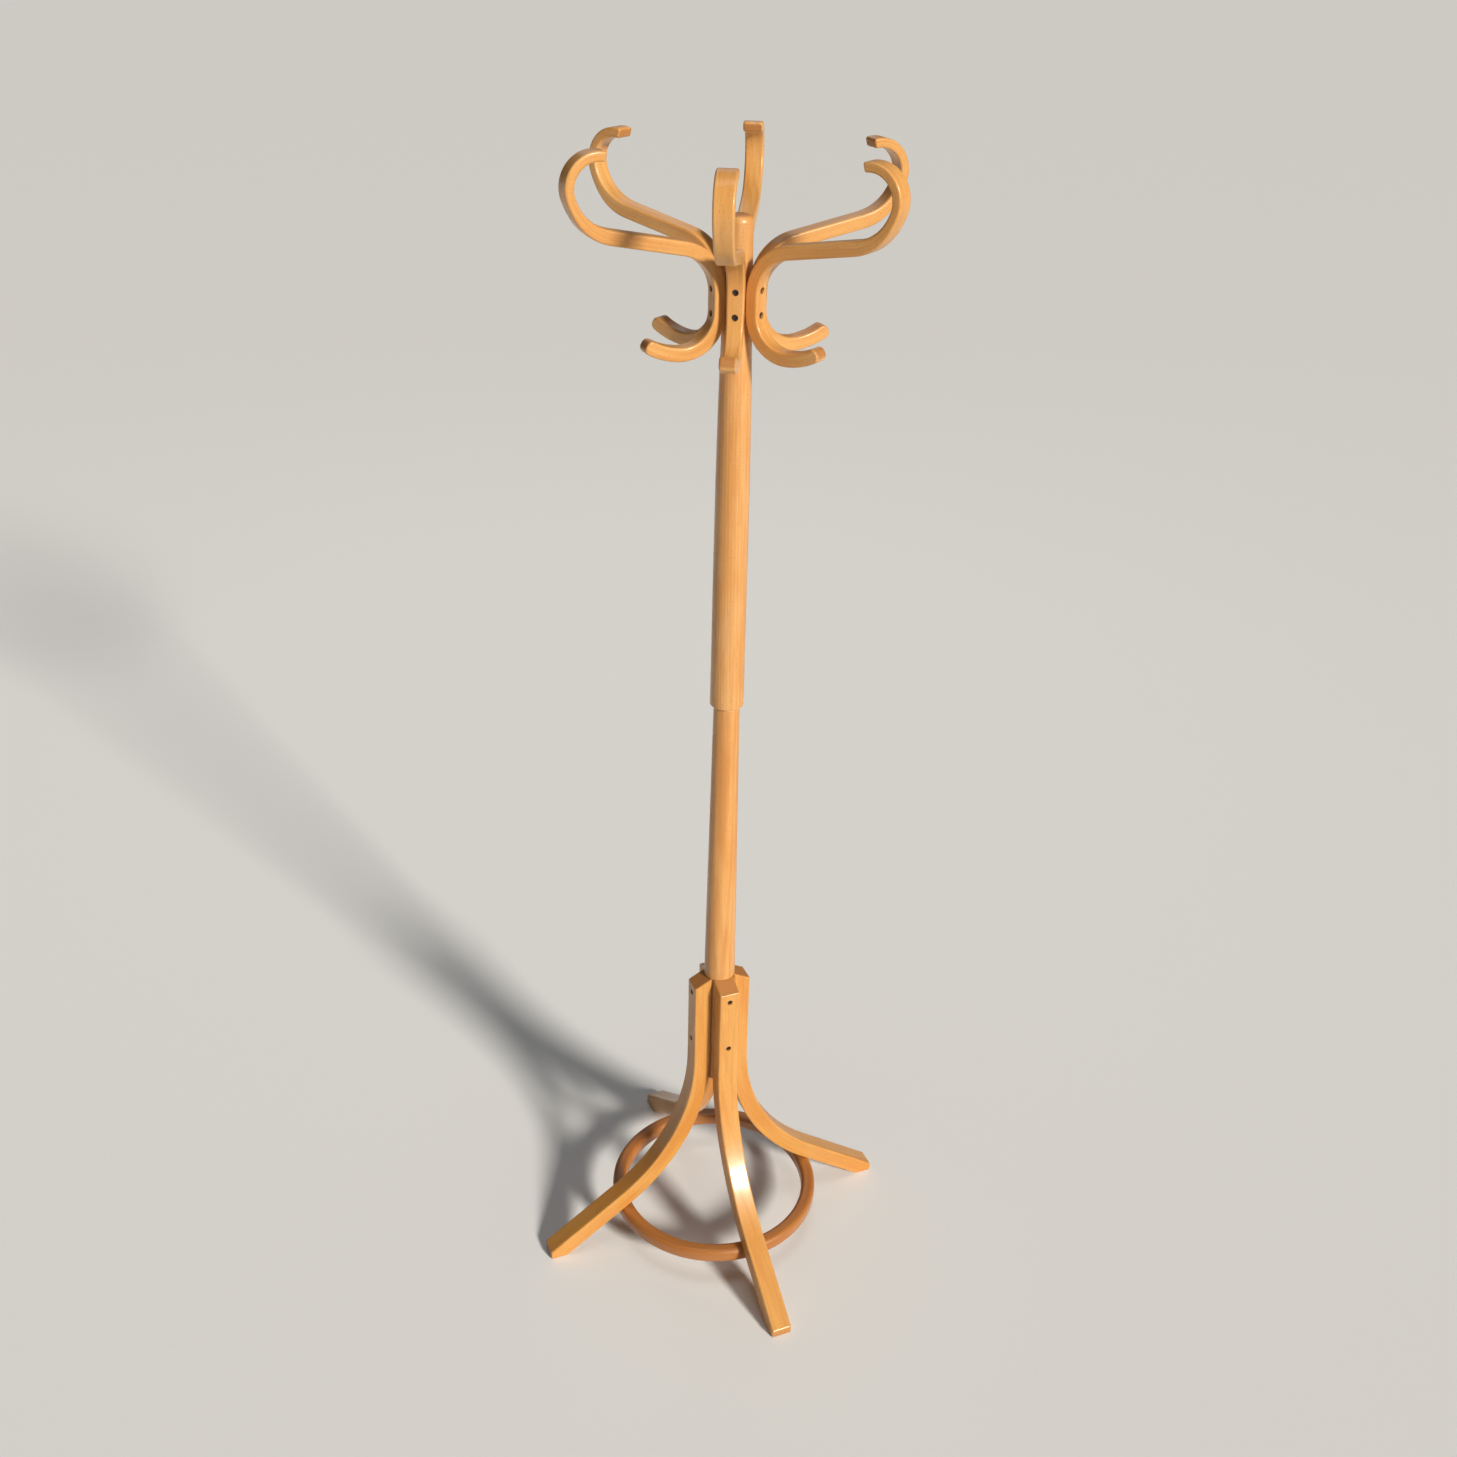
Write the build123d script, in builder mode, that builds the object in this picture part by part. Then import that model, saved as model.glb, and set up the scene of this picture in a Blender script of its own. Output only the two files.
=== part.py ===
"""Bentwood coat stand: a turned two-part column on four splayed legs with a ring brace,
and a revolving head that carries six double hooks.

Frame: millimetres, +Z up, origin on the floor under the column's axis, leg_1 along -Y.
The hook and the leg are first made along +X (radius = X, height = Z) and then turned
about the column's axis to each of their places.
"""

import os
from math import cos, radians, sin, tan

from build123d import *

# ---------------------------------------------------------------- driving sizes
# Column
column_foot_z = 322.0  # hidden lower end of the column, between the legs
shoulder_z = 536.0  # underside of the round column, where the legs begin
head_z = 1040.0  # lower end of the revolving head
column_top_z = 1763.0
core_radius = 23.0  # turned-down core that the legs are screwed to
lower_base_radius = 25.5  # lower column at its shoulder
lower_top_radius = 20.0  # lower column under the head
head_base_radius = 25.8  # revolving head at its lower end
head_waist_radius = 22.4
head_waist_z = 1545.0
head_top_radius = 19.0
head_top_z = 1738.0  # where the taper ends, below the rounded top
top_rounding = 11.0
head_end_rounding = 3.0  # turned edges at the parting line
lower_end_rounding = 1.5
around_radius = 60.0  # wider than the column, for cuts that go all round it

# Pivot inside the column
swivel_gap = 2.0  # dark line between the head and the lower column
washer_radius = 17.0
pin_radius = 6.0
pin_in_base = 90.0
pin_in_head = 88.0
pin_chamfer = 1.0
bush_wall = 3.0
bush_length = 80.0
bush_flange = 1.2  # flange let into the head's end face
bush_flange_radius = 13.0
bush_clearance = 0.05  # running fit, radial
pin_end_clearance = 4.0
washer_clearance = 0.3

# Hooks
hook_count = 6
hook_first_angle = -117.3  # direction of hook_1 about Z, -90 is straight to the front
hook_seat_radius = 20.0  # flat on the column that each stem stands on
hook_thickness = 19.0  # stem, arm and lower hook
curl_thickness = 13.0  # thinned towards the top curl
hook_width_top = 27.5
hook_width_foot = 22.5
hook_rounding = 3.0
stem_low_z = 1639.0  # straight part of the stem
stem_high_z = 1662.0
low_bend_radius = 53.0
low_bend_turn = 95.0
low_tip_radius = 105.0  # the lower hook opens out to this radius and keeps rising
low_tip_turn = 28.0
bend_radius = 64.0
arm_slope = 10.8  # degrees above level
arm_length = 100.0
entry_radius = 75.0
entry_end_angle = -20.0
curl_radius = 39.0
curl_turn = 125.0
tip_rounding = 3.5
low_tip_rounding = 8.0
seat_low_z = 1620.0  # flats on the column behind the stems
seat_high_z = 1679.0
hook_screw_heights = (1636.0, 1669.0)

# Legs
leg_count = 4
leg_first_angle = -90.0
leg_outer_radius = 49.0
leg_thickness = 29.5
leg_width = 34.5
leg_rounding = 3.0
leg_bevel_drop = 15.0  # fall of the bevelled top from the column to the outer face
leg_bend_radius = 318.0  # on the upper, hollow side
leg_splay = 35.0  # degrees below level
leg_reach = 312.0
leg_toe_height = 15.0
bevel_rounding = 2.0
toe_rounding = 4.0
heel_rounding = 10.0
leg_screw_heights = (408.0, 505.0)

# Ring brace
ring_radius = 170.0  # to the middle of its section
ring_width = 24.0
ring_height = 26.0
ring_rounding = 8.0
ring_bite = 2.0  # depth that the legs are notched over the ring

# Wood screws
screw_radius = 2.25
screw_head_radius = 4.1
screw_head_height = 3.2
screw_tip_length = 5.0
counterbore_radius = 4.5
counterbore_depth = 6.0
shank_clearance = 0.2
screw_inner_radius = 7.5  # distance of the hook and leg screws' points from the axis
cross_width = 1.0
cross_length = 4.4
cross_depth = 1.6
ring_screw_reach = 15.0  # how far a ring screw goes into its leg

# ---------------------------------------------------------------- derived sizes
leg_seat_radius = leg_outer_radius - leg_thickness
bush_radius = pin_radius + bush_clearance + bush_wall
lower_top_z = head_z - swivel_gap
hook_angles = [hook_first_angle + i * 360 / hook_count for i in range(hook_count)]
leg_angles = [leg_first_angle + i * 360 / leg_count for i in range(leg_count)]
stem_radius = hook_seat_radius + hook_thickness / 2
stem_outer_radius = hook_seat_radius + hook_thickness

os.makedirs("parts", exist_ok=True)


def save(piece, name):
    """Label one finished piece and write it as its own node."""
    piece.label = name
    export_step(piece, f"parts/{name}.step")


def polar(angle, radius=1.0):
    """A step of the given length in the direction of an angle in degrees."""
    return Vector(radius * cos(radians(angle)), radius * sin(radians(angle)))


def about_axis(angle):
    """The place of a piece made along +X and turned about the column's axis."""
    return Location((0, 0, 0), (0, 0, angle))


def wood_screw(length):
    """One cross-head wood screw along +Z: point at the origin, head on top."""
    with BuildPart() as screw:
        with BuildSketch(Plane.XZ):
            with BuildLine():
                Polyline(
                    (0, 0),
                    (screw_radius, screw_tip_length),
                    (screw_radius, length),
                    (screw_head_radius, length),
                    (screw_head_radius, length + screw_head_height),
                    (0, length + screw_head_height),
                    close=True,
                )
            make_face()
        revolve(axis=Axis.Z)
        top = Plane.XY.offset(length + screw_head_height)
        with BuildSketch(top):
            Rectangle(cross_length, cross_width)
            Rectangle(cross_width, cross_length)
        extrude(amount=-cross_depth, mode=Mode.SUBTRACT)
    return screw.part


def cut_screw_seat(plane, length):
    """Cut a screw's shank hole and the counterbore over its head; Z runs up the screw."""
    with BuildSketch(plane) as shank:
        Circle(screw_radius + shank_clearance)
    extrude(shank.sketch, amount=length, mode=Mode.SUBTRACT)
    with BuildSketch(plane.offset(length)) as counterbore:
        Circle(counterbore_radius)
    extrude(counterbore.sketch, amount=length, mode=Mode.SUBTRACT)


# ---------------------------------------------------------------- screws and their places
def screw_plane(tip_radius, tip_z, rise):
    """Plane at a screw's point, its Z along the screw towards the head.

    rise is the angle above level of that direction, measured outwards from the axis.
    """
    out = (cos(radians(rise)), 0, sin(radians(rise)))
    return Plane(origin=(tip_radius, 0, tip_z), x_dir=(0, 1, 0), z_dir=out)


def place_screws(planes, length):
    """A group of equal screws, one on each plane."""
    screw = wood_screw(length)
    with BuildPart() as group:
        with Locations(*[plane.location for plane in planes]):
            add(screw)
    return group.part


hook_screw_length = stem_outer_radius - counterbore_depth - screw_inner_radius
hook_screw_planes = [screw_plane(screw_inner_radius, z, 0) for z in hook_screw_heights]
hook_screw_pair = place_screws(hook_screw_planes, hook_screw_length)

leg_screw_length = leg_outer_radius - counterbore_depth - screw_inner_radius
leg_screw_planes = [screw_plane(screw_inner_radius, z, 0) for z in leg_screw_heights]
leg_screw_pair = place_screws(leg_screw_planes, leg_screw_length)


# ---------------------------------------------------------------- hook, made along +X
arm_start = Vector(stem_radius + bend_radius, stem_high_z) + polar(90 + arm_slope, bend_radius)
arm_end = arm_start + polar(arm_slope, arm_length)
entry_center = arm_end + polar(90 + arm_slope, entry_radius)
curl_center = entry_center + polar(entry_end_angle, entry_radius - curl_radius)


def hook_side(side):
    """One long side of the hook; side is 1 next to the column and -1 away from it."""
    half = side * hook_thickness / 2
    x = stem_radius - half
    low = JernArc((x, stem_low_z), (0, -1), low_bend_radius + half, low_bend_turn)
    low_end = JernArc(low @ 1, low % 1, low_tip_radius + half, low_tip_turn)
    Line((x, stem_low_z), (x, stem_high_z))
    bend = JernArc((x, stem_high_z), (0, 1), bend_radius + half, arm_slope - 90)
    arm = Line(bend @ 1, bend @ 1 + (bend % 1) * arm_length)
    curl = CenterArc(
        curl_center, curl_radius - side * curl_thickness / 2, entry_end_angle, curl_turn
    )
    Spline(arm @ 1, curl @ 0, tangents=(arm % 1, curl % 0))
    return low_end @ 1, curl @ 1


def nearest(sketch, points):
    """The sketch's corners at the given points."""
    return [sketch.vertices().sort_by_distance(point)[0] for point in points]


def side_edges(form):
    """Edges all round the two broad side faces of a form made along +X."""
    faces = form.faces().sort_by(Axis.Y)
    return faces[0].edges() + faces[-1].edges()


with BuildPart() as hook_form:
    with BuildSketch(Plane.XZ) as hook_outline:
        with BuildLine():
            inner_low, inner_tip = hook_side(1)
            outer_low, outer_tip = hook_side(-1)
            Line(inner_low, outer_low)
            Line(inner_tip, outer_tip)
        make_face()
        fillet(nearest(hook_outline, (inner_tip, outer_tip)), tip_rounding)
        fillet(nearest(hook_outline, (inner_low, outer_low)), low_tip_rounding)
    extrude(amount=hook_width_top / 2, both=True)
    box = hook_form.part.bounding_box()
    with BuildSketch(Plane.YZ):
        with BuildLine():
            Polyline(
                (-hook_width_foot / 2, box.min.Z),
                (hook_width_foot / 2, box.min.Z),
                (hook_width_top / 2, box.max.Z),
                (-hook_width_top / 2, box.max.Z),
                close=True,
            )
        make_face()
    extrude(amount=box.max.X, mode=Mode.INTERSECT)
    fillet(side_edges(hook_form), hook_rounding)
    for height in hook_screw_heights:
        cut_screw_seat(screw_plane(screw_inner_radius, height, 0), hook_screw_length)


# ---------------------------------------------------------------- ring brace
splay_out = polar(90 - leg_splay)  # square to the foot's underside, up and outwards
splay_slope = tan(radians(leg_splay))
bend_turn = 90 - leg_splay
arc_run = leg_bend_radius * (1 - cos(radians(bend_turn)))
arc_fall = leg_bend_radius * sin(radians(bend_turn))
straight_run = leg_reach - leg_outer_radius - arc_run
straight_fall = straight_run * splay_slope
leg_bend_z = leg_toe_height + straight_fall + arc_fall
heel_x = leg_reach - (leg_thickness / cos(radians(leg_splay)) - leg_toe_height) / splay_slope
ring_half_depth = (
    (ring_width / 2 - ring_rounding) * splay_out.X
    + (ring_height / 2 - ring_rounding) * splay_out.Y
    + ring_rounding
)
underside_z = (heel_x - ring_radius) * splay_slope
ring_z = underside_z - (ring_half_depth - ring_bite) / splay_out.Y

ring_screw_tip = Vector(ring_radius, ring_z) + splay_out * (
    ring_half_depth - ring_bite + ring_screw_reach
)
ring_screw_plane = screw_plane(ring_screw_tip.X, ring_screw_tip.Y, 180 + 90 - leg_splay)
ring_screw_length = 2 * ring_half_depth - ring_bite + ring_screw_reach - counterbore_depth
ring_screw = place_screws([ring_screw_plane], ring_screw_length)

with BuildPart() as ring_screws:
    for angle in leg_angles:
        with Locations(about_axis(angle)):
            add(ring_screw)
save(ring_screws.part, "ring_screws")

with BuildPart() as base_ring:
    with BuildSketch(Plane.XZ):
        with Locations((ring_radius, ring_z)):
            RectangleRounded(ring_width, ring_height, ring_rounding)
    revolve(axis=Axis.Z)
    for angle in leg_angles:
        cut_screw_seat(Plane(about_axis(angle) * ring_screw_plane.location), ring_screw_length)
save(base_ring.part, "base_ring")


# ---------------------------------------------------------------- leg, made along +X
def leg_side(x, radius):
    """One long side of the leg: straight down, an arc outwards and the straight foot."""
    Line((x, shoulder_z - leg_bevel_drop), (x, leg_bend_z))
    arc = JernArc((x, leg_bend_z), (0, -1), radius, bend_turn)
    return arc @ 1


with BuildPart() as leg_form:
    with BuildSketch(Plane.XZ) as leg_outline:
        with BuildLine():
            outer_arc_end = leg_side(leg_outer_radius, leg_bend_radius)
            inner_arc_end = leg_side(leg_seat_radius, leg_bend_radius + leg_thickness)
            Polyline(
                outer_arc_end,
                (leg_reach, leg_toe_height),
                (leg_reach, 0),
                (heel_x, 0),
                inner_arc_end,
            )
            Polyline(
                (leg_seat_radius, shoulder_z - leg_bevel_drop),
                (leg_seat_radius, shoulder_z),
                (leg_outer_radius, shoulder_z - leg_bevel_drop),
            )
        make_face()
        bevel_corner = (leg_outer_radius, shoulder_z - leg_bevel_drop)
        fillet(nearest(leg_outline, [bevel_corner]), bevel_rounding)
        fillet(nearest(leg_outline, [(leg_reach, leg_toe_height)]), toe_rounding)
        fillet(nearest(leg_outline, [(leg_reach, 0)]), toe_rounding)
        fillet(nearest(leg_outline, [(heel_x, 0)]), heel_rounding)
    extrude(amount=leg_width / 2, both=True)
    fillet(side_edges(leg_form), leg_rounding)
    add(base_ring.part, mode=Mode.SUBTRACT)
    for height in leg_screw_heights:
        cut_screw_seat(screw_plane(screw_inner_radius, height, 0), leg_screw_length)
    add(ring_screw, mode=Mode.SUBTRACT)

for number, angle in enumerate(leg_angles, 1):
    with BuildPart() as leg:
        with Locations(about_axis(angle)):
            add(leg_form.part)
    save(leg.part, f"leg_{number}")
    with BuildPart() as leg_screws:
        with Locations(about_axis(angle)):
            add(leg_screw_pair)
    save(leg_screws.part, f"leg_{number}_screws")


# ---------------------------------------------------------------- hooks in place
for number, angle in enumerate(hook_angles, 1):
    with BuildPart() as hook:
        with Locations(about_axis(angle)):
            add(hook_form.part)
    save(hook.part, f"hook_{number}")
    with BuildPart() as hook_screws:
        with Locations(about_axis(angle)):
            add(hook_screw_pair)
    save(hook_screws.part, f"hook_{number}_screws")


# ---------------------------------------------------------------- column and pivot
with BuildPart() as lower_column:
    with BuildSketch(Plane.XZ) as lower_outline:
        with BuildLine():
            Polyline(
                (0, column_foot_z),
                (core_radius, column_foot_z),
                (core_radius, shoulder_z),
                (lower_base_radius, shoulder_z),
                (lower_top_radius, lower_top_z),
                (0, lower_top_z),
                close=True,
            )
        make_face()
        fillet(nearest(lower_outline, [(lower_top_radius, lower_top_z)]), lower_end_rounding)
    revolve(axis=Axis.Z)
    with BuildSketch(Plane.XY.offset(column_foot_z)):
        Circle(around_radius)
        Rectangle(2 * leg_seat_radius, 2 * leg_seat_radius, mode=Mode.SUBTRACT)
    extrude(amount=shoulder_z - column_foot_z, mode=Mode.SUBTRACT)
    with BuildSketch(Plane.XY.offset(lower_top_z)):
        Circle(pin_radius)
    extrude(amount=-pin_in_base, mode=Mode.SUBTRACT)
    for angle in leg_angles:
        with Locations(about_axis(angle)):
            add(leg_screw_pair, mode=Mode.SUBTRACT)
save(lower_column.part, "lower_column")

with BuildPart() as upper_column:
    with BuildSketch(Plane.XZ) as upper_outline:
        with BuildLine():
            Spline(
                (head_base_radius, head_z),
                (head_waist_radius, head_waist_z),
                (head_top_radius, head_top_z),
                tangents=((head_waist_radius - head_base_radius, head_waist_z - head_z), (0, 1)),
            )
            Polyline(
                (head_top_radius, head_top_z),
                (head_top_radius, column_top_z),
                (0, column_top_z),
                (0, head_z),
                (head_base_radius, head_z),
            )
        make_face()
        fillet(nearest(upper_outline, [(head_top_radius, column_top_z)]), top_rounding)
        fillet(nearest(upper_outline, [(head_base_radius, head_z)]), head_end_rounding)
    revolve(axis=Axis.Z)
    with BuildSketch(Plane.XY.offset(seat_low_z)):
        Circle(around_radius)
        RegularPolygon(
            hook_seat_radius,
            hook_count,
            major_radius=False,
            rotation=hook_first_angle + 180 / hook_count,
            mode=Mode.SUBTRACT,
        )
    extrude(amount=seat_high_z - seat_low_z, mode=Mode.SUBTRACT)
    with BuildSketch(Plane.XY.offset(head_z)):
        Circle(bush_radius)
    extrude(amount=bush_length, mode=Mode.SUBTRACT)
    with BuildSketch(Plane.XY.offset(head_z)):
        Circle(bush_flange_radius)
    extrude(amount=bush_flange, mode=Mode.SUBTRACT)
    with BuildSketch(Plane.XY.offset(head_z + bush_length)):
        Circle(pin_radius + pin_chamfer)
    extrude(amount=pin_in_head + pin_end_clearance - bush_length, mode=Mode.SUBTRACT)
    for angle in hook_angles:
        with Locations(about_axis(angle)):
            add(hook_screw_pair, mode=Mode.SUBTRACT)
save(upper_column.part, "upper_column")

with BuildPart() as pivot_pin:
    with BuildSketch(Plane.XY.offset(lower_top_z - pin_in_base)):
        Circle(pin_radius)
    extrude(amount=pin_in_base + pin_in_head)
    chamfer(pivot_pin.edges(), pin_chamfer)
save(pivot_pin.part, "pivot_pin")

with BuildPart() as pivot_bush:
    with BuildSketch(Plane.XY.offset(head_z)):
        Circle(bush_radius)
    extrude(amount=bush_length)
    with BuildSketch(Plane.XY.offset(head_z)):
        Circle(bush_flange_radius)
    extrude(amount=bush_flange)
    with BuildSketch(Plane.XY.offset(head_z)):
        Circle(pin_radius + bush_clearance)
    extrude(amount=bush_length, mode=Mode.SUBTRACT)
save(pivot_bush.part, "pivot_bush")

with BuildPart() as thrust_washer:
    with BuildSketch(Plane.XY.offset(lower_top_z)):
        Circle(washer_radius)
        Circle(pin_radius + washer_clearance, mode=Mode.SUBTRACT)
    extrude(amount=swivel_gap)
save(thrust_washer.part, "thrust_washer")
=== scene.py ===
"""Bentwood coat stand: its wood, steel and nylon, the studio round it and the camera.

Metres, +Z up, origin on the floor under the column's axis. The hooks, legs and ring are
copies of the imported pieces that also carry, at each face corner, where that point lies
along and across the bent strip, so that the grain follows every bend.
"""

from math import cos, pi, radians, sin

import bpy
import numpy as np
from mathutils import Matrix, Vector


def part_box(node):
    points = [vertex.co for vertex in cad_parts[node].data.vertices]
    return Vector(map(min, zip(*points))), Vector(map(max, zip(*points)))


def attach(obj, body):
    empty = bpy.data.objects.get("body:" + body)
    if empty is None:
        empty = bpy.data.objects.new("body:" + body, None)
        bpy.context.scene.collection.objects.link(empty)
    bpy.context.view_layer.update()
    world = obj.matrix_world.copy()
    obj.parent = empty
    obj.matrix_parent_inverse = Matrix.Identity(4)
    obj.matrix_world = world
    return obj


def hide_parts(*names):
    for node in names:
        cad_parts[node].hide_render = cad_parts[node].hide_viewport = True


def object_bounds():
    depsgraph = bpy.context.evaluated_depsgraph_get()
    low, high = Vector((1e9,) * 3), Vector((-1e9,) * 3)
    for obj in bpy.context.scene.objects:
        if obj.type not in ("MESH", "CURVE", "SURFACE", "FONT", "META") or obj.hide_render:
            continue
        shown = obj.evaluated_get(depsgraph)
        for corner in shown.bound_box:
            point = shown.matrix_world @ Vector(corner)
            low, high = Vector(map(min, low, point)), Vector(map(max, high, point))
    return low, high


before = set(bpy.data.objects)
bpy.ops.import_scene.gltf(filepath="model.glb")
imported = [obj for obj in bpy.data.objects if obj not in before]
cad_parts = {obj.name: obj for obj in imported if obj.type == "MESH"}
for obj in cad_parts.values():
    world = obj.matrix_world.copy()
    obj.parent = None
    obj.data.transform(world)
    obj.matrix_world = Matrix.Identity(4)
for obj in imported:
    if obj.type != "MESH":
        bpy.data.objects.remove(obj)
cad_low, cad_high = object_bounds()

# ---------------------------------------------------------------- sizes of the bent strips
# Angles are in degrees. Bends are named by the radius of their centreline.
HOOK_COUNT = 6
HOOK_FIRST_ANGLE = -117.3
HOOK_STEM_RADIUS = 0.0295
HOOK_STEM_Z = (1.639, 1.662)  # the straight stretch of the stem
HOOK_LOW_BEND = 0.053
HOOK_LOW_TURN = 95.0
HOOK_LOW_TIP = 0.105
HOOK_LOW_TIP_TURN = 28.0
HOOK_BEND = 0.064
HOOK_SLOPE = 10.8
HOOK_ARM = 0.100
HOOK_ENTRY = 0.075
HOOK_CURL = 0.039
HOOK_CURL_FROM = -20.0
HOOK_CURL_TURN = 125.0
HOOK_THICKNESS = (0.019, 0.013)  # up to the arm's end, and in the curl
HOOK_WIDTH = (0.0225, 0.0275)  # at its lowest and highest point

LEG_COUNT = 4
LEG_FIRST_ANGLE = -90.0
LEG_MIDDLE_RADIUS = 0.03425
LEG_TOP_Z = 0.536
LEG_BEND_Z = 0.3647  # where the bend begins
LEG_BEND = 0.33275
LEG_SPLAY = 35.0  # the foot's slope
LEG_FOOT = 0.190
LEG_THICKNESS = 0.0295
LEG_WIDTH = 0.0345

RING_RADIUS = 0.170
RING_WIDTH = 0.024
RING_HEIGHT = 0.026
RING_SEAM = 75.0  # where the bent ring's ends meet

COLUMN_TOP_Z = 1.038
HEAD_Z = (1.040, 1.755)

LINE_STEP = 0.0015  # spacing of the points along a centreline


# ---------------------------------------------------------------- centrelines
def polar(angle, radius):
    """A step of the given length at an angle in degrees."""
    return np.array([cos(radians(angle)), sin(radians(angle))]) * radius


def arc(center, radius, start, end):
    """Points round an arc in the upright plane, angles in degrees."""
    steps = max(2, int(abs(radians(end - start)) * radius / LINE_STEP))
    return np.array([center + polar(a, radius) for a in np.linspace(start, end, steps)])


def straight(start, end):
    """Points along a straight line."""
    steps = max(2, int(np.linalg.norm(end - start) / LINE_STEP))
    return start + np.linspace(0, 1, steps)[:, None] * (end - start)


def joined(*runs):
    """Runs of points end to end, with no point twice."""
    points = np.vstack(runs)
    keep = np.r_[True, np.linalg.norm(np.diff(points, axis=0), axis=1) > LINE_STEP / 10]
    return points[keep]


def hook_line():
    """A hook's centreline as radius and height, from the low tip to the upper tip."""
    low_center = np.array([HOOK_STEM_RADIUS + HOOK_LOW_BEND, HOOK_STEM_Z[0]])
    low_arc = arc(low_center, HOOK_LOW_BEND, 180 + HOOK_LOW_TURN, 180)
    low_end = 180 + HOOK_LOW_TURN
    tip_center = low_arc[0] + polar(low_end, -HOOK_LOW_TIP)
    low_tip = arc(tip_center, HOOK_LOW_TIP, low_end + HOOK_LOW_TIP_TURN, low_end)
    bend_center = np.array([HOOK_STEM_RADIUS + HOOK_BEND, HOOK_STEM_Z[1]])
    bend = arc(bend_center, HOOK_BEND, 180, 90 + HOOK_SLOPE)
    arm_end = bend[-1] + polar(HOOK_SLOPE, HOOK_ARM)
    entry_center = arm_end + polar(90 + HOOK_SLOPE, HOOK_ENTRY)
    entry = arc(entry_center, HOOK_ENTRY, HOOK_SLOPE - 90, HOOK_CURL_FROM)
    curl_center = entry_center + polar(HOOK_CURL_FROM, HOOK_ENTRY - HOOK_CURL)
    curl = arc(curl_center, HOOK_CURL, HOOK_CURL_FROM, HOOK_CURL_FROM + HOOK_CURL_TURN)
    return joined(
        low_tip,
        low_arc,
        straight(low_arc[-1], bend[0]),
        bend,
        straight(bend[-1], arm_end),
        entry,
        curl,
    )


def leg_line():
    """A leg's centreline as radius and height, from its top to its toe."""
    top = np.array([LEG_MIDDLE_RADIUS, LEG_TOP_Z])
    bend_center = np.array([LEG_MIDDLE_RADIUS + LEG_BEND, LEG_BEND_Z])
    bend = arc(bend_center, LEG_BEND, 180, 270 - LEG_SPLAY)
    toe = bend[-1] + polar(-LEG_SPLAY, LEG_FOOT)
    return joined(straight(top, bend[0]), bend, straight(bend[-1], toe))


# ---------------------------------------------------------------- copies that know their grain
def corners_of(mesh):
    """Place and normal of every face corner."""
    places = np.empty(len(mesh.vertices) * 3, np.float32)
    mesh.vertices.foreach_get("co", places)
    index = np.empty(len(mesh.loops), np.int32)
    mesh.loops.foreach_get("vertex_index", index)
    normals = np.empty(len(mesh.loops) * 3, np.float32)
    mesh.corner_normals.foreach_get("vector", normals)
    return places.reshape(-1, 3)[index].astype(float), normals.reshape(-1, 3).astype(float)


def along_line(line, points):
    """Length along the line, offset to its left and direction at the nearest place."""
    starts, steps = line[:-1], np.diff(line, axis=0)
    lengths = np.linalg.norm(steps, axis=1)
    directions = steps / lengths[:, None]
    reached = np.r_[0, np.cumsum(lengths)][:-1]
    best = np.full(len(points), np.inf)
    length, offset = np.zeros(len(points)), np.zeros(len(points))
    direction = np.zeros((len(points), 2))
    for start, ahead, size, before in zip(starts, directions, lengths, reached):
        away = points - start
        t = np.clip(away @ ahead, 0, size)
        gap = away - t[:, None] * ahead
        distance = (gap**2).sum(axis=1)
        nearer = distance < best
        best[nearer] = distance[nearer]
        length[nearer] = before + t[nearer]
        offset[nearer] = gap[nearer] @ np.array([-ahead[1], ahead[0]])
        direction[nearer] = ahead
    return length, offset, direction


def turned_back(vectors, angle):
    """Vectors turned about Z so that a piece at that angle lies along +X."""
    c, s = cos(radians(angle)), sin(radians(angle))
    x, y, z = vectors.T
    return np.stack([c * x + s * y, c * y - s * x, z], axis=1)


def grained_copy(node, body, shift, grain, form):
    """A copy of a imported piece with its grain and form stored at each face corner.

    grain is length along, across and through the strip in metres. form is across and
    through as a share of half the strip, and how far the face looks along the grain.
    """
    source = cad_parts[node]
    piece = bpy.data.objects.new(f"{node}_wood", source.data.copy())
    bpy.context.scene.collection.objects.link(piece)
    piece.data.materials.clear()
    for name, values in (("grain", grain + np.array(shift)), ("form", form)):
        layer = piece.data.attributes.new(name, "FLOAT_VECTOR", "CORNER")
        layer.data.foreach_set("vector", values.astype(np.float32).ravel())
    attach(piece, body)
    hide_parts(node)
    return piece


def strip_copy(node, body, angle, line, half_width, half_thickness, shift):
    """A grained copy of a strip that is bent in the upright plane at an angle about Z."""
    places, normals = corners_of(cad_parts[node].data)
    places, normals = turned_back(places, angle), turned_back(normals, angle)
    length, offset, direction = along_line(line, places[:, [0, 2]])
    end = np.abs((normals[:, [0, 2]] * direction).sum(axis=1))
    grain = np.stack([length, places[:, 1], offset], axis=1)
    form = np.stack(
        [places[:, 1] / half_width(places), offset / half_thickness(length), end], axis=1
    )
    return grained_copy(node, body, shift, grain, form)


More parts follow.
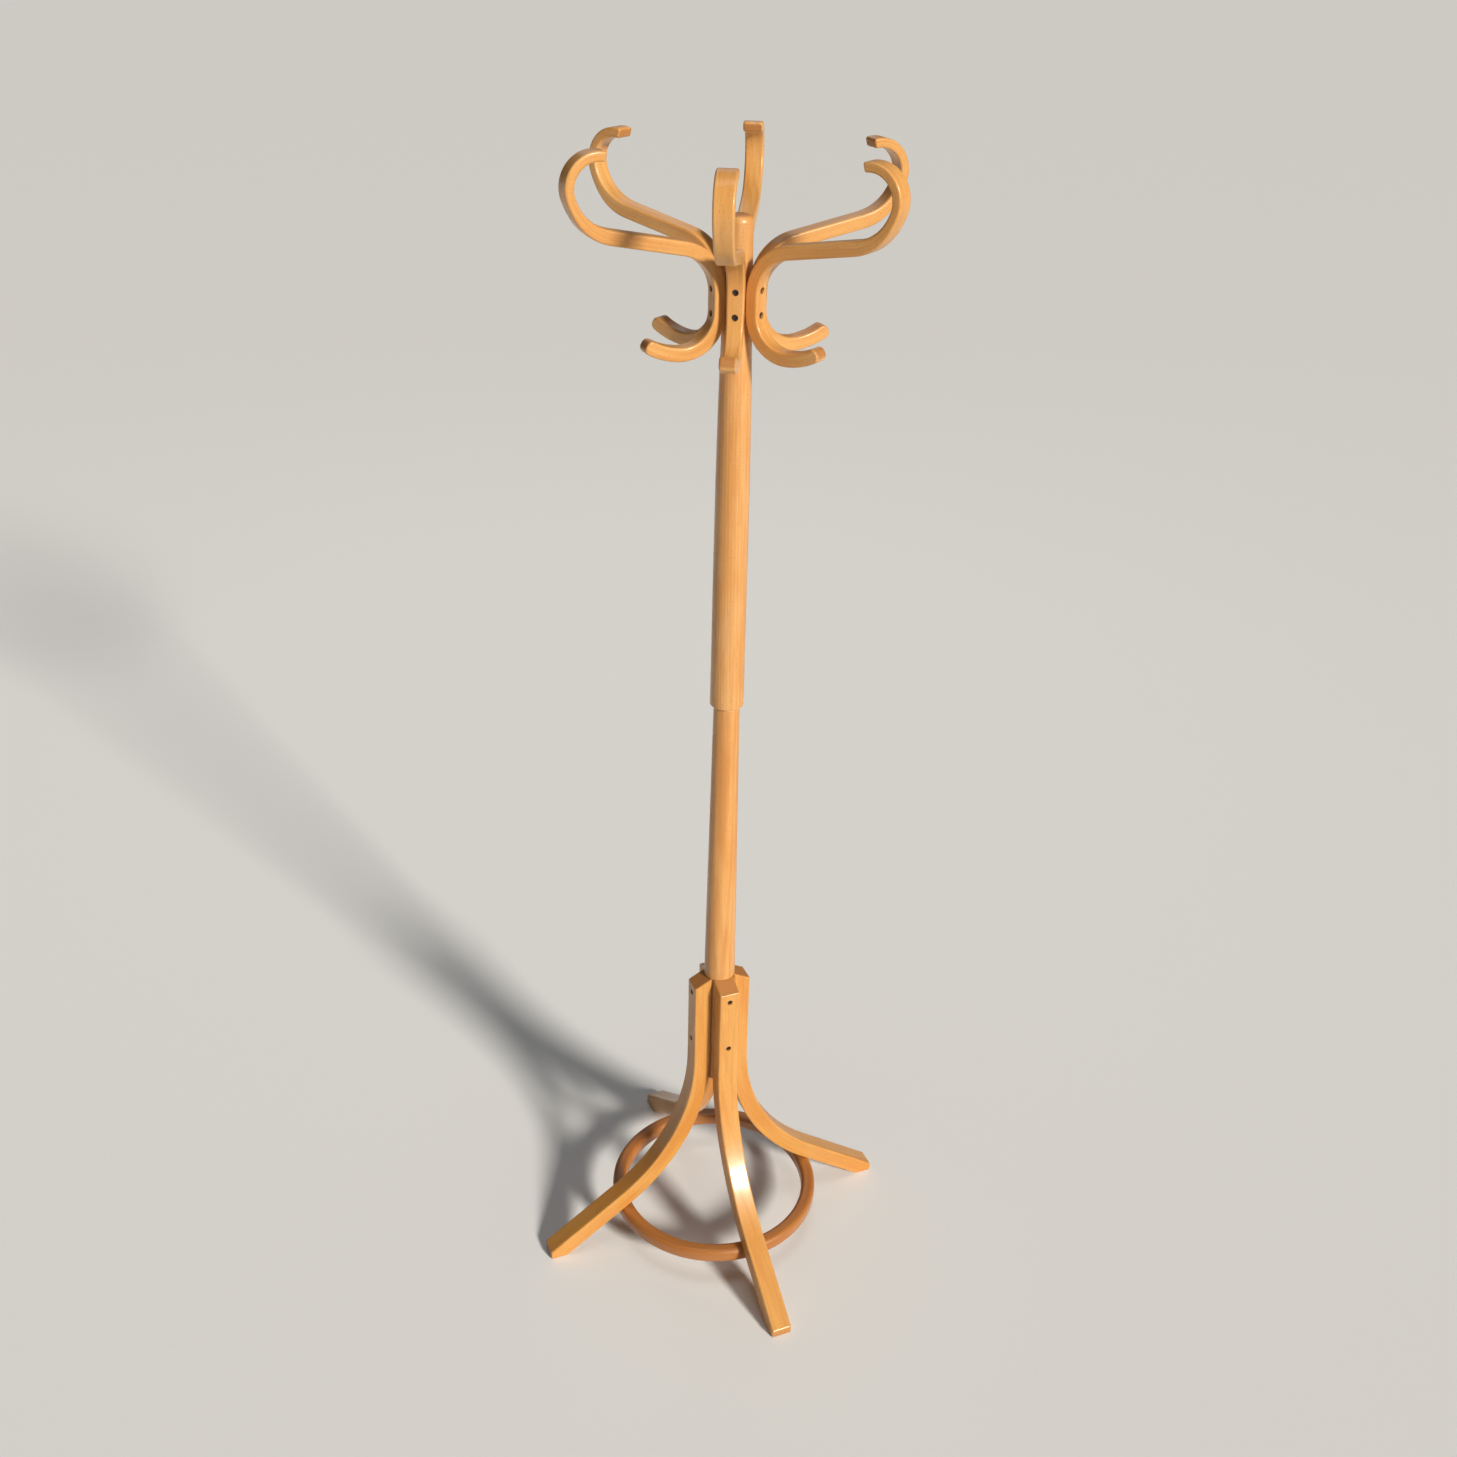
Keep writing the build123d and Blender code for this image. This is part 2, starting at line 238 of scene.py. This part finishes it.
def ring_copy(node, body, seam, shift):
    """A grained copy of the ring; its grain meets itself at the seam's angle."""
    low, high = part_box(node)
    middle_z = (low.z + high.z) / 2
    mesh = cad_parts[node].data
    places, normals = corners_of(mesh)
    turn = np.arctan2(places[:, 1], places[:, 0]) - radians(seam)
    starts = np.empty(len(mesh.polygons), np.int32)
    totals = np.empty(len(mesh.polygons), np.int32)
    mesh.polygons.foreach_get("loop_start", starts)
    mesh.polygons.foreach_get("loop_total", totals)
    face = np.repeat(np.arange(len(starts)), totals)
    middle = np.zeros((len(starts), 2))
    np.add.at(middle, face, places[:, :2])
    face_turn = (np.arctan2(middle[:, 1], middle[:, 0]) - radians(seam)) % (2 * pi)
    near = face_turn[face]
    turn = near + (turn - near + pi) % (2 * pi) - pi
    radius = np.hypot(places[:, 0], places[:, 1])
    tangent = np.stack([-places[:, 1], places[:, 0]], axis=1) / radius[:, None]
    end = np.abs((normals[:, :2] * tangent).sum(axis=1))
    across, through = places[:, 2] - middle_z, radius - RING_RADIUS
    grain = np.stack([turn * RING_RADIUS, across, through], axis=1)
    form = np.stack([across / (RING_HEIGHT / 2), through / (RING_WIDTH / 2), end], axis=1)
    return grained_copy(node, body, shift, grain, form)


# ---------------------------------------------------------------- node helpers
class Graph:
    """Adds nodes to one material and joins them."""

    def __init__(self, name):
        self.material = bpy.data.materials.new(name)
        self.material.use_nodes = True
        self.tree = self.material.node_tree
        self.shader = self.tree.nodes["Principled BSDF"]

    def feed(self, socket, value):
        """Join a socket to the value, if that is a socket too, or else set it."""
        if isinstance(value, bpy.types.NodeSocket):
            self.tree.links.new(value, socket)
        else:
            socket.default_value = value

    def node(self, kind, inputs=(), **settings):
        made = self.tree.nodes.new(kind)
        for key, value in settings.items():
            setattr(made, key, value)
        for key, value in dict(inputs).items():
            self.feed(made.inputs[key], value)
        return made

    def math(self, operation, *values):
        inputs = dict(enumerate(values))
        return self.node("ShaderNodeMath", inputs, operation=operation).outputs[0]

    def split(self, vector):
        return self.node("ShaderNodeSeparateXYZ", {0: vector}).outputs

    def vector(self, x, y, z):
        return self.node("ShaderNodeCombineXYZ", {0: x, 1: y, 2: z}).outputs[0]

    def scaled(self, parts, factors):
        """A vector of parts, each times its own factor."""
        return self.vector(*[self.math("MULTIPLY", p, f) for p, f in zip(parts, factors)])

    def noise(self, vector, scale=1.0, detail=2.0, roughness=0.5):
        inputs = {"Vector": vector, "Scale": scale, "Detail": detail, "Roughness": roughness}
        return self.node("ShaderNodeTexNoise", inputs)

    def ramp(self, value, low, high, start=0.0, end=1.0):
        """The value from low to high, eased, mapped to start to end."""
        inputs = {0: value, 1: low, 2: high, 3: start, 4: end}
        return self.node("ShaderNodeMapRange", inputs, interpolation_type="SMOOTHSTEP").outputs[0]

    def mix(self, factor, first, second):
        """A blend of two colours, each a socket or red, green and blue."""
        inputs = {0: factor}
        for key, value in ((6, first), (7, second)):
            is_socket = isinstance(value, bpy.types.NodeSocket)
            inputs[key] = value if is_socket else (*value, 1.0)
        return self.node("ShaderNodeMix", inputs, data_type="RGBA").outputs[2]

    def set(self, name, value):
        """Give the material's shader a value, the same all over or from a socket."""
        self.feed(self.shader.inputs[name], value)

    def bump(self, height, strength, distance):
        inputs = {"Height": height, "Strength": strength, "Distance": distance}
        self.set("Normal", self.node("ShaderNodeBump", inputs).outputs[0])


# ---------------------------------------------------------------- wood
PALE = (0.72, 0.375, 0.125)
HONEY = (0.66, 0.295, 0.072)
LATE_WOOD = (0.47, 0.175, 0.036)
FLECK = (0.26, 0.092, 0.022)
END_GRAIN = (0.36, 0.15, 0.045)

BENT_YEAR = 0.0042  # spacing of the year rings in the bent strips
TURNED_YEAR = 0.0046  # and in the turned poles
SWAY = 0.006  # how far the year rings wander sideways

# How many times a texture repeats in a metre along, across and through the grain.
SWAY_SCALE = (2.2, 16, 16)
CLOUD_SCALE = (7, 42, 42)
STREAK_SCALE = (9, 330, 330)
FIBRE_SCALE = (28, 1500, 1500)
FLECK_SCALE = (190, 900, 900)
PORE_SCALE = (300, 1500, 1500)
RUBBING_SCALE = (45, 90, 90)

# How strongly each shows in the colour.
STREAK_SHARE = 0.28
FIBRE_SHARE = 0.24
FLECK_SHARE = 0.50
END_SHARE = 0.85
WORN_SHARE = 0.45

LACQUER_ROUGHNESS = (0.30, 0.40)
FIBRE_ROUGHNESS = 0.08
WORN_ROUGHNESS = 0.16
END_ROUGHNESS = 0.20
COAT_WEIGHT = 0.30
COAT_ROUGHNESS = 0.16
RELIEF_STRENGTH = 0.35
RELIEF_DEPTH = 0.00018


def late_wood(graph, parts, pith, tilt, year):
    """How dark the year rings are: each darkens slowly outwards and then ends at once."""
    along, across, through = parts
    slow = graph.noise(graph.scaled(parts, SWAY_SCALE), detail=2.0)
    sway = graph.split(slow.outputs["Color"])
    bent = [
        graph.math("MULTIPLY_ADD", sway[axis], SWAY, part)
        for axis, part in enumerate((across, through))
    ]
    away = [
        graph.math("SUBTRACT", graph.math("MULTIPLY_ADD", along, -lean, part), heart)
        for part, lean, heart in zip(bent, tilt, pith)
    ]
    squares = [graph.math("MULTIPLY", side, side) for side in away]
    radius = graph.math("SQRT", graph.math("ADD", *squares))
    turns = graph.math("DIVIDE", radius, year)
    phase = graph.math("FRACT", turns)
    late = graph.math("MULTIPLY", graph.ramp(phase, 0.30, 0.88), graph.ramp(phase, 1.0, 0.90))
    number = graph.vector(graph.math("FLOOR", turns), 0.0, 0.0)
    strength = graph.ramp(graph.noise(number, 3.7, 0.0).outputs[0], 0.25, 0.75, 0.35, 1.0)
    return graph.math("MULTIPLY", late, strength)


def flecks(graph, parts):
    """The short dark rays of beech, 1 in the middle of each."""
    inputs = {"Vector": graph.scaled(parts, FLECK_SCALE), "Scale": 1.0}
    cells = graph.node("ShaderNodeTexVoronoi", inputs)
    kept = graph.ramp(graph.split(cells.outputs["Color"])[0], 0.45, 0.75)
    return graph.math("MULTIPLY", graph.ramp(cells.outputs["Distance"], 0.34, 0.10), kept)


def wood(graph, parts, pith, tilt, year, figure, tone, edge, end):
    """Lacquered beech. parts is along, across and through in metres.

    pith and tilt place the tree's heart across and through the piece, and its lean along it.
    year is the spacing of the year rings, figure is how strongly they show, and tone is the
    piece's own shade. edge and end are sockets, 1 on worn rounded edges and 1 where the
    grain is cut across.
    """
    late = late_wood(graph, parts, pith, tilt, year)
    fleck = flecks(graph, parts)
    fibre = graph.noise(graph.scaled(parts, FIBRE_SCALE), detail=3.0, roughness=0.6).outputs[0]
    streak = graph.noise(graph.scaled(parts, STREAK_SCALE), detail=2.0).outputs[0]
    cloud = graph.noise(graph.scaled(parts, CLOUD_SCALE), detail=3.0).outputs[0]
    pores = graph.noise(graph.scaled(parts, PORE_SCALE), detail=2.0).outputs[0]
    rubbing = graph.noise(graph.scaled(parts, RUBBING_SCALE), detail=4.0, roughness=0.65).outputs[0]
    worn = graph.math("MULTIPLY", edge, graph.ramp(rubbing, 0.42, 0.66))

    pale, honey = (tuple(t * c for t, c in zip(tone, base)) for base in (PALE, HONEY))
    colour = graph.mix(graph.ramp(cloud, 0.35, 0.68), pale, honey)
    colour = graph.mix(graph.ramp(streak, 0.40, 0.72, 0.0, STREAK_SHARE), colour, LATE_WOOD)
    colour = graph.mix(graph.math("MULTIPLY", late, figure), colour, LATE_WOOD)
    colour = graph.mix(graph.ramp(fibre, 0.50, 0.72, 0.0, FIBRE_SHARE), colour, LATE_WOOD)
    colour = graph.mix(graph.math("MULTIPLY", fleck, FLECK_SHARE), colour, FLECK)
    cut = graph.mix(graph.ramp(pores, 0.40, 0.62), END_GRAIN, LATE_WOOD)
    colour = graph.mix(graph.math("MULTIPLY", end, END_SHARE), colour, cut)
    colour = graph.mix(graph.math("MULTIPLY", worn, WORN_SHARE), colour, PALE)
    graph.set("Base Color", colour)

    rough = graph.ramp(cloud, 0.30, 0.70, *LACQUER_ROUGHNESS)
    rough = graph.math("MULTIPLY_ADD", fibre, FIBRE_ROUGHNESS, rough)
    rough = graph.math("MULTIPLY_ADD", worn, WORN_ROUGHNESS, rough)
    rough = graph.math("MULTIPLY_ADD", end, END_ROUGHNESS, rough)
    graph.set("Roughness", rough)
    graph.set("Coat Weight", COAT_WEIGHT)
    graph.set("Coat Roughness", COAT_ROUGHNESS)

    height = graph.math("MULTIPLY_ADD", fleck, -0.8, fibre)
    height = graph.math("MULTIPLY_ADD", streak, 0.7, height)
    height = graph.math("MULTIPLY_ADD", late, 0.5, height)
    height = graph.math("MULTIPLY_ADD", pores, end, height)
    graph.bump(height, RELIEF_STRENGTH, RELIEF_DEPTH)


def bent_beech(name, pith, tilt, figure, tone):
    """Beech whose grain runs along a bent strip."""
    graph = Graph(name)
    grain = graph.node("ShaderNodeAttribute", attribute_name="grain").outputs["Vector"]
    form = graph.node("ShaderNodeAttribute", attribute_name="form").outputs["Vector"]
    across, through, end = graph.split(form)
    corner = graph.math("MINIMUM", graph.math("ABSOLUTE", across), graph.math("ABSOLUTE", through))
    edge = graph.ramp(corner, 0.70, 0.93)
    cut = graph.ramp(end, 0.60, 0.92)
    wood(graph, graph.split(grain), pith, tilt, BENT_YEAR, figure, tone, edge, cut)
    return graph.material


def turned_beech(name, pith, tilt, figure, tone, edges):
    """Beech of a turned pole, its grain along Z; edges are the heights of its rounded ends."""
    graph = Graph(name)
    place = graph.node("ShaderNodeTexCoord")
    x, y, z = graph.split(place.outputs["Object"])
    facing = graph.math("ABSOLUTE", graph.split(place.outputs["Normal"])[2])
    end = graph.ramp(facing, 0.65, 0.95)
    gaps = [graph.math("ABSOLUTE", graph.math("SUBTRACT", z, height)) for height in edges]
    edge = graph.ramp(graph.math("MINIMUM", *gaps), 0.005, 0.0005)
    wood(graph, (z, x, y), pith, tilt, TURNED_YEAR, figure, tone, edge, end)
    return graph.material


# ---------------------------------------------------------------- steel and nylon
# The screws' steel is far darker than the pin's: partly the steel's own colour, partly painted shade
# standing for the shadow inside the screws' counterbored holes.
SHADE_DARKENED_SCREW_STEEL = (0.13, 0.11, 0.095)
PIN_STEEL = (0.60, 0.60, 0.61)
NYLON = (0.020, 0.018, 0.017)
DUST = (0.10, 0.085, 0.07)


def steel(name, colour, scratch_scale, rough):
    """Dull steel with fine turning marks and a darker tarnish in patches."""
    graph = Graph(name)
    place = graph.node("ShaderNodeTexCoord").outputs["Object"]
    patch = graph.noise(place, 420.0, 4.0, 0.6).outputs[0]
    marks = graph.noise(graph.scaled(graph.split(place), scratch_scale), detail=3.0).outputs[0]
    dark = tuple(0.35 * c for c in colour)
    graph.set("Base Color", graph.mix(graph.ramp(patch, 0.45, 0.70), colour, dark))
    graph.set("Roughness", graph.ramp(patch, 0.35, 0.70, rough, rough + 0.22))
    graph.set("Metallic", 1.0)
    graph.bump(marks, 0.3, 0.0001)
    return graph.material


def nylon(name):
    """Black nylon, slightly dusty, with a fine moulded grain."""
    graph = Graph(name)
    place = graph.node("ShaderNodeTexCoord").outputs["Object"]
    dust = graph.noise(place, 160.0, 4.0, 0.6).outputs[0]
    grain = graph.noise(place, 2600.0, 2.0).outputs[0]
    graph.set("Base Color", graph.mix(graph.ramp(dust, 0.48, 0.75, 0.0, 0.4), NYLON, DUST))
    graph.set("Roughness", graph.ramp(dust, 0.30, 0.75, 0.48, 0.70))
    graph.bump(grain, 0.25, 0.0001)
    return graph.material


def finish(node, material):
    """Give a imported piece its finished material."""
    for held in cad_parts[node].material_slots:
        held.material = material


# ---------------------------------------------------------------- the pieces
HOOK_FIGURE = 0.30
LEG_FIGURE = 0.24
RING_FIGURE = 0.30
COLUMN_FIGURE = 0.62
HEAD_FIGURE = 0.30
RING_TONE = (0.58, 0.44, 0.31)
COLUMN_TONE = (1.0, 1.0, 1.0)
HEAD_TONE = (1.0, 1.03, 1.12)
SHIFT_ALONG = (1, 9)  # metres
SHIFT_ASIDE = (-0.006, 0.006)

hook_low, hook_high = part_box("hook_1")
arm_end_length = (
    radians(HOOK_LOW_TIP_TURN) * HOOK_LOW_TIP
    + radians(HOOK_LOW_TURN) * HOOK_LOW_BEND
    + HOOK_STEM_Z[1]
    - HOOK_STEM_Z[0]
    + radians(90 - HOOK_SLOPE) * HOOK_BEND
    + HOOK_ARM
)
curl_start_length = arm_end_length + radians(90 - HOOK_SLOPE + HOOK_CURL_FROM) * HOOK_ENTRY
rng = np.random.default_rng(7)


def hook_half_thickness(length):
    """A hook thins from the end of its arm to the start of its curl."""
    spots = (arm_end_length, curl_start_length)
    return np.interp(length, spots, np.array(HOOK_THICKNESS) / 2)


def hook_half_width(places):
    """A hook widens evenly with height."""
    return np.interp(places[:, 2], (hook_low.z, hook_high.z), np.array(HOOK_WIDTH) / 2)


def leg_half_thickness(length):
    return np.full(len(length), LEG_THICKNESS / 2)


def leg_half_width(places):
    return np.full(len(places), LEG_WIDTH / 2)


def own_shift():
    """A place of its own in the tree for each piece."""
    return (rng.uniform(*SHIFT_ALONG), rng.uniform(*SHIFT_ASIDE), rng.uniform(*SHIFT_ASIDE))


def add_hooks():
    path = hook_line()
    woods = [
        bent_beech("bent_beech_a", (0.030, 0.046), (0.010, 0.035), HOOK_FIGURE, (1.0, 1.04, 1.02)),
        bent_beech("bent_beech_b", (-0.052, 0.020), (0.020, -0.018), HOOK_FIGURE, (1.04, 1.10, 1.12)),
        bent_beech("bent_beech_c", (0.012, -0.060), (-0.015, 0.024), HOOK_FIGURE, (0.97, 0.98, 0.90)),
    ]
    for i in range(HOOK_COUNT):
        angle = HOOK_FIRST_ANGLE + 360 / HOOK_COUNT * i
        sizes = (hook_half_width, hook_half_thickness)
        hook = strip_copy(f"hook_{i + 1}", "head", angle, path, *sizes, own_shift())
        hook.data.materials.append(woods[i % len(woods)])


def add_legs():
    path = leg_line()
    woods = [
        bent_beech("leg_beech_a", (0.024, 0.050), (0.006, 0.030), LEG_FIGURE, (0.95, 0.91, 0.68)),
        bent_beech("leg_beech_b", (-0.050, 0.026), (0.016, -0.014), LEG_FIGURE, (0.94, 0.88, 0.60)),
    ]
    for i in range(LEG_COUNT):
        angle = LEG_FIRST_ANGLE + 360 / LEG_COUNT * i
        sizes = (leg_half_width, leg_half_thickness)
        leg = strip_copy(f"leg_{i + 1}", "base", angle, path, *sizes, own_shift())
        leg.data.materials.append(woods[i % len(woods)])


def add_ring():
    ring = ring_copy("base_ring", "base", RING_SEAM, own_shift())
    made = bent_beech("ring_beech", (0.044, 0.030), (0.004, 0.003), RING_FIGURE, RING_TONE)
    ring.data.materials.append(made)


def finish_columns():
    pith, tilt = (0.024, 0.056), (0.010, 0.016)
    edges = (LEG_TOP_Z, COLUMN_TOP_Z)
    column = turned_beech("lower_column_beech", pith, tilt, COLUMN_FIGURE, COLUMN_TONE, edges)
    finish("lower_column", column)
    pith, tilt = (-0.062, 0.020), (-0.012, 0.006)
    finish("upper_column", turned_beech("head_beech", pith, tilt, HEAD_FIGURE, HEAD_TONE, HEAD_Z))


def finish_hardware():
    # Painted shade: the screws get steel darkened to stand for the shadow in their holes.
    screw_steel = steel("screw_steel", SHADE_DARKENED_SCREW_STEEL, (900, 900, 900), 0.45)
    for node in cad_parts:
        if node.endswith("screws"):
            finish(node, screw_steel)
    finish("pivot_pin", steel("pin_steel", PIN_STEEL, (300, 300, 4000), 0.25))
    for node in ("pivot_bush", "thrust_washer"):
        finish(node, nylon("black_nylon"))


add_hooks()
add_legs()
add_ring()
finish_columns()
finish_hardware()


# ---------------------------------------------------------------- floor, light and camera
FLOOR_REACH = 60.0
FLOOR_PAINT = (0.84, 0.85, 0.86, 1.0)
FLOOR_ROUGHNESS = 0.85
FLOOR_SHINE = 0.1

SUN_DISTANCE = 4.0
KEY_WHITE = (1.0, 0.94, 0.84)
TOP_WHITE = (1.0, 0.98, 0.95)
COOL_WHITE = (0.95, 0.97, 1.0)
WORLD_STRENGTH = 0.06
BACKDROP = (0.62, 0.60, 0.555)

LENS = 39.39  # mm, on a sensor 36 mm wide
SENSOR = 36.0
CAMERA_PLACE = (-0.83308, -1.98182, 2.16464)
CAMERA_RIGHT = (0.925970, -0.376807, 0.024428)
CAMERA_UP = (0.160015, 0.450174, 0.878487)
CLIP_END = 200.0


def add_floor():
    """A wide, plain, pale floor."""
    corners = [(-1, -1), (1, -1), (1, 1), (-1, 1)]
    places = [(x * FLOOR_REACH, y * FLOOR_REACH, 0) for x, y in corners]
    mesh = bpy.data.meshes.new("floor")
    mesh.from_pydata(places, [], [(0, 1, 2, 3)])
    floor = bpy.data.objects.new("floor", mesh)
    bpy.context.scene.collection.objects.link(floor)
    graph = Graph("floor_paint")
    graph.set("Base Color", FLOOR_PAINT)
    graph.set("Roughness", FLOOR_ROUGHNESS)
    graph.set("Specular IOR Level", FLOOR_SHINE)
    mesh.materials.append(graph.material)


def aimed_lamp(name, data, azimuth, elevation, distance):
    lamp = bpy.data.objects.new(name, data)
    bpy.context.scene.collection.objects.link(lamp)
    a, e = radians(azimuth), radians(elevation)
    back = Vector((sin(a) * cos(e), -cos(a) * cos(e), sin(e)))
    lamp.location = (cad_low + cad_high) / 2 + back * distance
    lamp.rotation_euler = back.to_track_quat("Z", "Y").to_euler()


def add_sun(name, azimuth, elevation, strength, spread, colour):
    """An even, far light; spread is how wide it looks, in degrees."""
    data = bpy.data.lights.new(name, "SUN")
    data.energy = strength
    data.angle = radians(spread)
    data.color = colour
    aimed_lamp(name, data, azimuth, elevation, SUN_DISTANCE)


def add_area(name, azimuth, elevation, distance, size, power, colour):
    """A square soft lamp."""
    data = bpy.data.lights.new(name, "AREA")
    data.size = size
    data.energy = power
    data.color = colour
    aimed_lamp(name, data, azimuth, elevation, distance)


def add_world():
    """A faint even light all round, and a plain pale backdrop beyond the floor."""
    world = bpy.data.worlds.new("studio")
    world.use_nodes = True
    tree = world.node_tree
    around = tree.nodes["Background"]
    around.inputs["Color"].default_value = (*COOL_WHITE, 1.0)
    around.inputs["Strength"].default_value = WORLD_STRENGTH
    seen = tree.nodes.new("ShaderNodeBackground")
    seen.inputs["Color"].default_value = (*BACKDROP, 1.0)
    path = tree.nodes.new("ShaderNodeLightPath")
    either = tree.nodes.new("ShaderNodeMixShader")
    tree.links.new(path.outputs["Is Camera Ray"], either.inputs[0])
    tree.links.new(around.outputs[0], either.inputs[1])
    tree.links.new(seen.outputs[0], either.inputs[2])
    tree.links.new(either.outputs[0], tree.nodes["World Output"].inputs["Surface"])
    bpy.context.scene.world = world


def add_camera():
    """The camera, at the place and turn from which the stand is seen."""
    data = bpy.data.cameras.new("camera")
    data.sensor_width = SENSOR
    data.lens = LENS
    data.clip_end = CLIP_END
    camera = bpy.data.objects.new("camera", data)
    bpy.context.scene.collection.objects.link(camera)
    right, up = Vector(CAMERA_RIGHT), Vector(CAMERA_UP)
    turn = Matrix((right, up, right.cross(up))).transposed().to_4x4()
    camera.matrix_world = Matrix.Translation(CAMERA_PLACE) @ turn
    bpy.context.scene.camera = camera


add_floor()
add_sun("key", 18.0, 26.0, 4.15, 9.0, KEY_WHITE)
add_sun("top", 0.0, 88.0, 0.36, 25.0, TOP_WHITE)
add_area("back", 165.0, 40.0, 4.0, 2.0, 8.0, COOL_WHITE)
add_world()
bpy.context.scene.view_settings.view_transform = "Standard"
add_camera()
